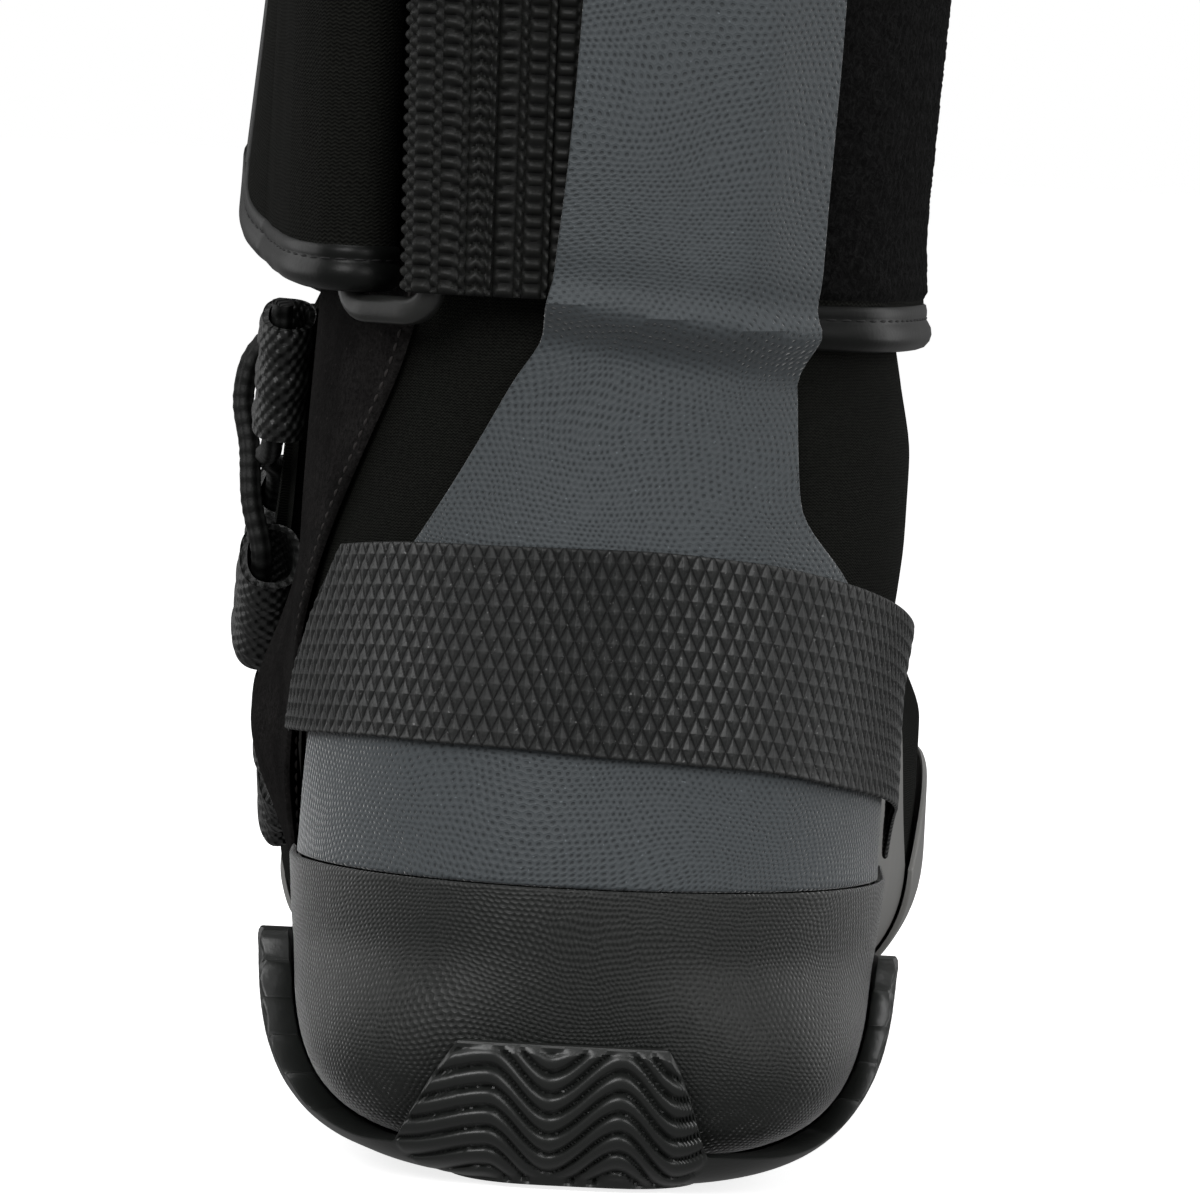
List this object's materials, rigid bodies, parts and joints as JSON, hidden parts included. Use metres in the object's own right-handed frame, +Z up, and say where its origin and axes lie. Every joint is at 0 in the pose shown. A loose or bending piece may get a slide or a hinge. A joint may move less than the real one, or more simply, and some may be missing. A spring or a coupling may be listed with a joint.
{
  "type": "dinghy sailing boot",
  "caption": "Right ankle-high dinghy sailing boot of black foam rubber with a ribbed cup sole, heel panel and strap, side lacing and an ankle strap through a ring.",
  "frame": {"origin": "on the floor, in the middle of the flat spot under the heel", "axes": "+Y towards the toe, +X towards the outer side of the foot, +Z up"},
  "size_m": [0.0977, 0.2849, 0.1901],
  "materials": {
    "ankle_strap": "bound knit foam",
    "elastic_band": "woven elastic",
    "eyestay_front": "suede nap",
    "eyestay_rear": "suede nap",
    "forefoot_rand": "smooth satin",
    "heel_cup": "fine pebble grain",
    "heel_panel": "dimpled",
    "heel_strap": "diamond grip",
    "insole": "knit-covered foam",
    "lace": "braided cord",
    "lace_loop_front_1": "webbing",
    "lace_loop_front_2": "webbing",
    "lace_loop_front_3": "webbing",
    "lace_loop_front_4": "webbing",
    "lace_loop_rear_1": "webbing",
    "lace_loop_rear_2": "webbing",
    "lace_loop_rear_3": "webbing",
    "lace_loop_rear_4": "webbing",
    "outsole": "matte moulded rubber",
    "strap_ring": "moulded plastic",
    "tongue": "knit-faced foam rubber",
    "upper": "knit-faced foam rubber"
  },
  "bodies": {
    "root": {"ankle_strap": "ankle_strap", "elastic_band": "elastic_band", "eyestay_front": "eyestay_front", "eyestay_rear": "eyestay_rear", "forefoot_rand": "forefoot_rand", "heel_cup": "heel_cup", "heel_panel": "heel_panel", "heel_strap": "heel_strap", "insole": "insole", "lace": "lace", "lace_loop_front_1": "lace_loop_front_1", "lace_loop_front_2": "lace_loop_front_2", "lace_loop_front_3": "lace_loop_front_3", "lace_loop_front_4": "lace_loop_front_4", "lace_loop_rear_1": "lace_loop_rear_1", "lace_loop_rear_2": "lace_loop_rear_2", "lace_loop_rear_3": "lace_loop_rear_3", "lace_loop_rear_4": "lace_loop_rear_4", "outsole": "outsole", "strap_ring": "strap_ring", "tongue": "tongue", "upper": "upper"}
  },
  "joints": []
}
